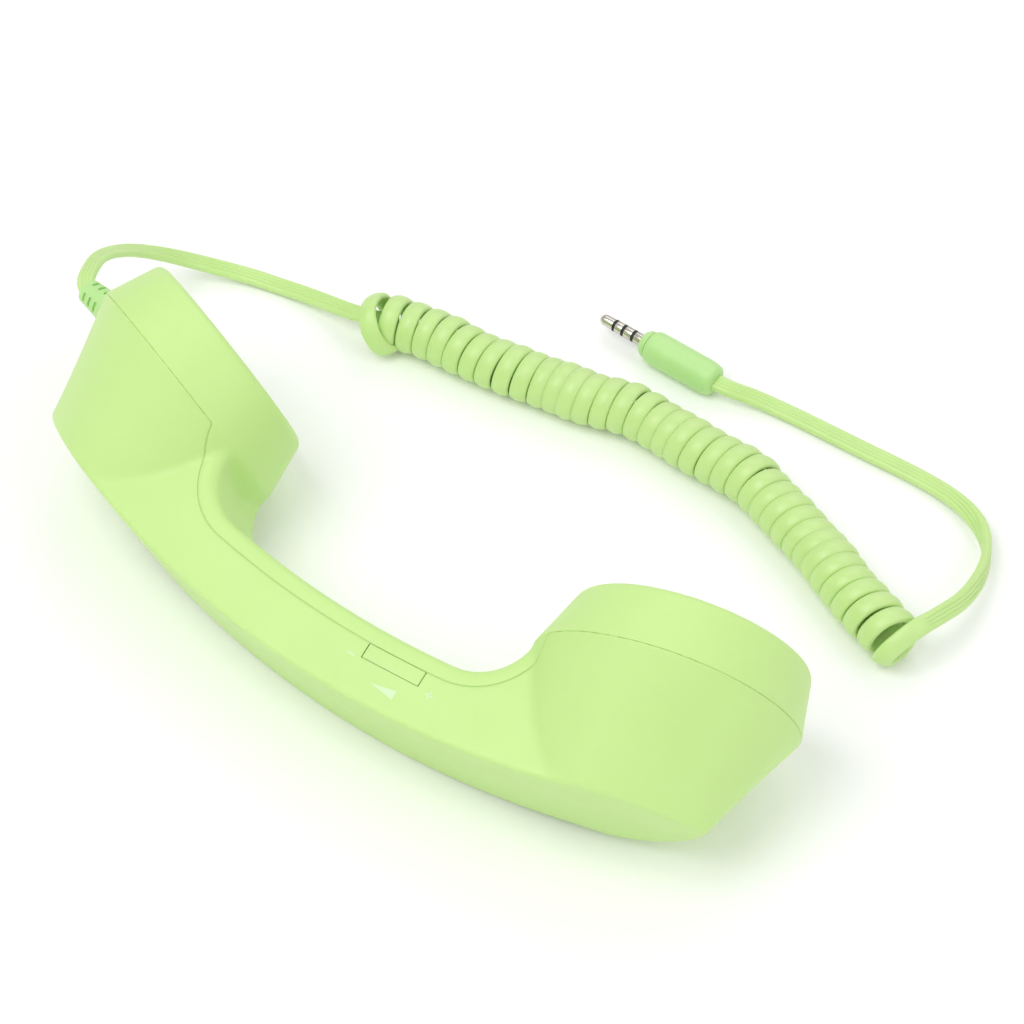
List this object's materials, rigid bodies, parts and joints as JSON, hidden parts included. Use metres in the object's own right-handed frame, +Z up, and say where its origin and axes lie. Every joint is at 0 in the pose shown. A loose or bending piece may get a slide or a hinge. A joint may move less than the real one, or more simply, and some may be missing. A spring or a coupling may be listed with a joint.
{
  "type": "telephone handset",
  "caption": "Retro telephone handset for a mobile phone, with a curly cord and a 3.5 mm audio plug, lying on its side; the answer button and the volume rocker move.",
  "frame": {"origin": "centre of the handset's footprint on the surface it lies on, without the cord, the strain relief and the plug", "axes": "+X from the mouthpiece to the earpiece along the handset, +Y the way both faces look, tilted up by the resting angle, +Z up"},
  "size_m": [0.2461, 0.1693, 0.064],
  "materials": {
    "shell_plastic": "soft-touch pastel green",
    "mint_plastic": "soft moulded pastel green, slightly cooler",
    "cord_jacket": "flexible pastel green jacket, satin",
    "steel": "plain steel",
    "plated_contact": "bright nickel plated",
    "black_plastic": "black moulded",
    "circuit_board": "green solder mask",
    "diaphragm_film": "thin translucent film",
    "foam": "black foam",
    "copper_wire": "enamelled copper",
    "ferrite": "sintered magnet",
    "white_plastic": "white moulded",
    "red_plastic": "red wire insulation"
  },
  "bodies": {
    "handset": {"front_shell": "shell_plastic", "back_shell": "shell_plastic", "ear_dust_mesh": "foam", "mouth_dust_mesh": "foam", "speaker_gasket": "foam", "mic_boot": "foam", "speaker_frame": "steel", "speaker_diaphragm": "diaphragm_film", "voice_coil": "copper_wire", "speaker_magnet": "ferrite", "speaker_yoke": "steel", "speaker_clamp": "steel", "speaker_screw_1": "steel", "speaker_screw_2": "steel", "speaker_screw_3": "steel", "mic_capsule": "steel", "mic_holder": "black_plastic", "mic_screw_1": "steel", "mic_screw_2": "steel", "control_board": "circuit_board", "board_screw_1": "steel", "board_screw_2": "steel", "ballast_weight": "steel", "ballast_screw_1": "steel", "ballast_screw_2": "steel", "answer_switch": "black_plastic", "rocker_pin": "steel", "volume_switch_down": "black_plastic", "volume_switch_up": "black_plastic", "cord_core": "cord_jacket", "speaker_wire_red": "red_plastic", "speaker_wire_black": "black_plastic", "mic_wire_white": "white_plastic", "mic_wire_black": "black_plastic", "strain_relief": "mint_plastic", "cord_lead_handset": "cord_jacket", "cord_coil": "cord_jacket", "cord_lead_plug": "cord_jacket", "plug_body": "mint_plastic", "plug_collar": "mint_plastic", "plug_sleeve": "plated_contact", "plug_ring_1": "plated_contact", "plug_ring_2": "plated_contact", "plug_tip": "plated_contact", "plug_insulator_1": "black_plastic", "plug_insulator_2": "black_plastic", "plug_insulator_3": "black_plastic"},
    "answer_key": {"answer_button": "shell_plastic", "answer_switch_stem": "white_plastic"},
    "volume_key": {"volume_rocker": "shell_plastic"}
  },
  "joints": [
    {"name": "answer_press", "type": "slide", "parent": "handset", "child": "answer_key", "axis": [0, -0.9291, -0.3697], "range_m": [0, 0.0005], "stiffness_N_per_m": 1200},
    {"name": "volume_tilt", "type": "hinge", "parent": "handset", "child": "volume_key", "pos_m": [0.02347, -0.02387, 0.03061], "axis": [-0.0863, 0.9257, 0.3684], "range_deg": [-3.5, 3.5], "stiffness_Nm_per_rad": 0.12}
  ]
}
